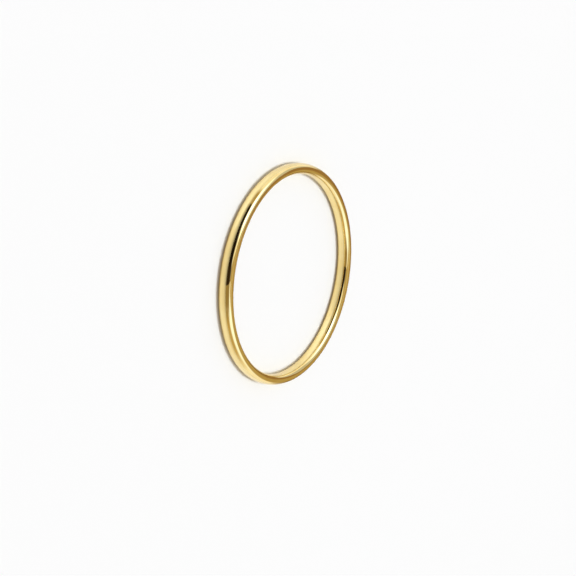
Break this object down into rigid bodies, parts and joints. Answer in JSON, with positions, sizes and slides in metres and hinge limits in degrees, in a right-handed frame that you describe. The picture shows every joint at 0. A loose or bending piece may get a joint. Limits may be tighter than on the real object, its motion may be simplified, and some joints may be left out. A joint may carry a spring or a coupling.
{
  "type": "stackable ring",
  "caption": "Plain polished gold band ring with a slim domed section and a comfort-fit inside, for wearing alone or stacked.",
  "frame": {"origin": "centre of the circle that the ring rests on when it lies on its side", "axes": "+Z along the ring's axis, up from the surface; +X and +Y across the finger hole"},
  "size_m": [0.0192, 0.0192, 0.0013],
  "materials": {
    "polished_gold": "mirror-polished yellow gold"
  },
  "bodies": {
    "root": {"ring_band": "polished_gold"}
  },
  "joints": []
}
